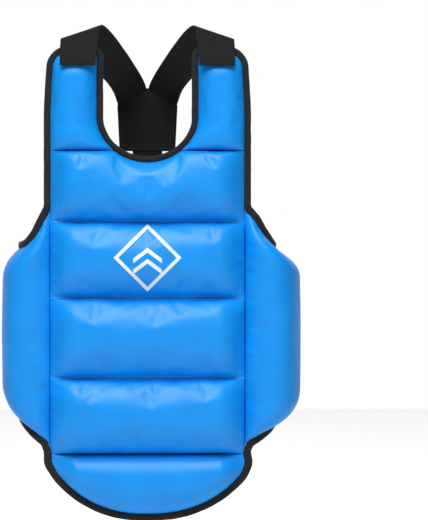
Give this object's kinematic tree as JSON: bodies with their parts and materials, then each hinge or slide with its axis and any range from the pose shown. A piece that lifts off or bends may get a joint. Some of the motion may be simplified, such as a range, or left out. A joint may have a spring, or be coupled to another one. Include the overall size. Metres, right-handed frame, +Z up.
{
  "type": "chest protector",
  "caption": "Padded chest protector for martial arts with quilted front, wrap-round wings, lower flap and elastic harness.",
  "frame": {"origin": "on the rear face of the front lining, on the seam between the second and third channels, on the centre line", "axes": "+Z up, the front of the pad faces -Y, +Y into the wearer's chest, +X to the wearer's left"},
  "size_m": [0.3142, 0.1786, 0.5206],
  "materials": {
    "cover_leather": "gloss quilted vinyl leather-cloth, blue",
    "binding_tape": "folded woven binding tape, black",
    "elastic_webbing": "ribbed woven elastic, black",
    "lining_cloth": "knitted nylon lining, black",
    "foam": "closed-cell foam, sealed inside",
    "hook_and_loop": "hook and loop tape, black"
  },
  "bodies": {
    "front": {"front_cover": "cover_leather", "chest_foam": "foam", "rib_foam": "foam", "belly_foam": "foam", "waist_foam": "foam", "front_lining": "lining_cloth", "neck_tape": "binding_tape", "left_armhole_tape": "binding_tape", "right_armhole_tape": "binding_tape"},
    "left_wing": {"left_wing_cover": "cover_leather", "left_wing_foam": "foam", "left_wing_lining": "lining_cloth", "left_wing_tape": "binding_tape", "left_loop_pad": "hook_and_loop"},
    "right_wing": {"right_wing_cover": "cover_leather", "right_wing_foam": "foam", "right_wing_lining": "lining_cloth", "right_wing_tape": "binding_tape", "right_loop_pad": "hook_and_loop"},
    "flap": {"flap_cover": "cover_leather", "flap_foam": "foam", "flap_lining": "lining_cloth", "flap_tape": "binding_tape"},
    "shoulders": {"left_tab_cover": "cover_leather", "left_tab_foam": "foam", "left_tab_lining": "lining_cloth", "left_tab_tape": "binding_tape", "left_strap_front": "elastic_webbing", "right_tab_cover": "cover_leather", "right_tab_foam": "foam", "right_tab_lining": "lining_cloth", "right_tab_tape": "binding_tape", "right_strap_front": "elastic_webbing"},
    "harness": {"left_strap_back": "elastic_webbing", "right_strap_back": "elastic_webbing", "yoke_inner_patch": "elastic_webbing", "yoke_outer_patch": "elastic_webbing", "spine_strap": "elastic_webbing", "waist_belt": "elastic_webbing", "left_hook_pad": "hook_and_loop", "right_hook_pad": "hook_and_loop"}
  },
  "joints": [
    {"name": "left_wing_hinge", "type": "hinge", "parent": "front", "child": "left_wing", "pos_m": [-0.103, -0.0026, 0], "axis": [0, 0, 1], "range_deg": [0, 65]},
    {"name": "right_wing_hinge", "type": "hinge", "parent": "front", "child": "right_wing", "pos_m": [0.103, -0.0026, 0], "axis": [0, 0, -1], "range_deg": [0, 65]},
    {"name": "flap_hinge", "type": "hinge", "parent": "front", "child": "flap", "pos_m": [0, -0.0026, -0.166], "axis": [1, 0, 0], "range_deg": [-20, 40]},
    {"name": "shoulder_hinge", "type": "hinge", "parent": "front", "child": "shoulders", "pos_m": [0, -0.0026, 0.154], "axis": [1, 0, 0], "range_deg": [-6, 12]},
    {"name": "harness_hinge", "type": "hinge", "parent": "shoulders", "child": "harness", "pos_m": [0, 0.008, 0.286], "axis": [1, 0, 0], "range_deg": [0, 95]}
  ]
}
